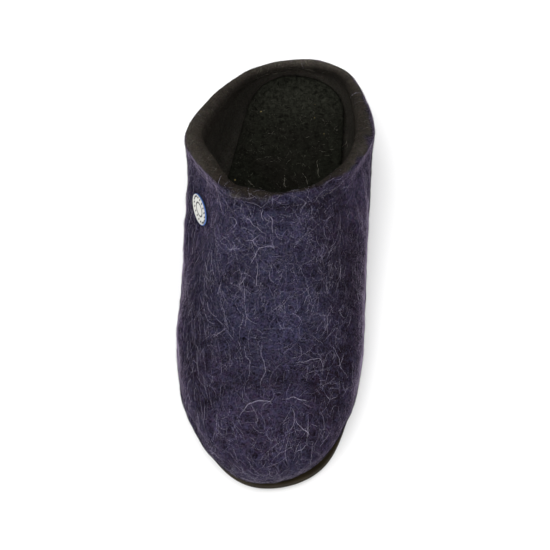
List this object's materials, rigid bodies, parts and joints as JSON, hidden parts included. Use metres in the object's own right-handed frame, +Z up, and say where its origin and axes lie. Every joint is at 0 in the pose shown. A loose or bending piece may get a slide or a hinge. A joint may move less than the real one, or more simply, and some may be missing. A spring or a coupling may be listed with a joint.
{
  "type": "house slipper",
  "caption": "Closed house slipper for the right foot: seamless hollow wool-felt upper with a slanting open collar, thin flat outsole with toe spring, loose felt insole and a small oval badge.",
  "frame": {"origin": "on the floor plane, under the middle of the slipper's bounding box", "axes": "+X towards the inner side of the foot, +Y towards the heel, so the toe points to -Y, +Z up"},
  "size_m": [0.1104, 0.2764, 0.0881],
  "materials": {
    "upper": "wet-felted wool, navy to plum outside with pale curly hairs, dark brown-grey inside and on the rim",
    "outsole": "matte dark olive-brown sheet rubber with a cut edge",
    "insole": "pressed wool felt, dark greenish grey with pale specks",
    "badge": "white satin oval with a thin blue edge and a ring of small dark dots"
  },
  "bodies": {
    "root": {"upper": "upper", "outsole": "outsole", "insole": "insole", "badge": "badge"}
  },
  "joints": []
}
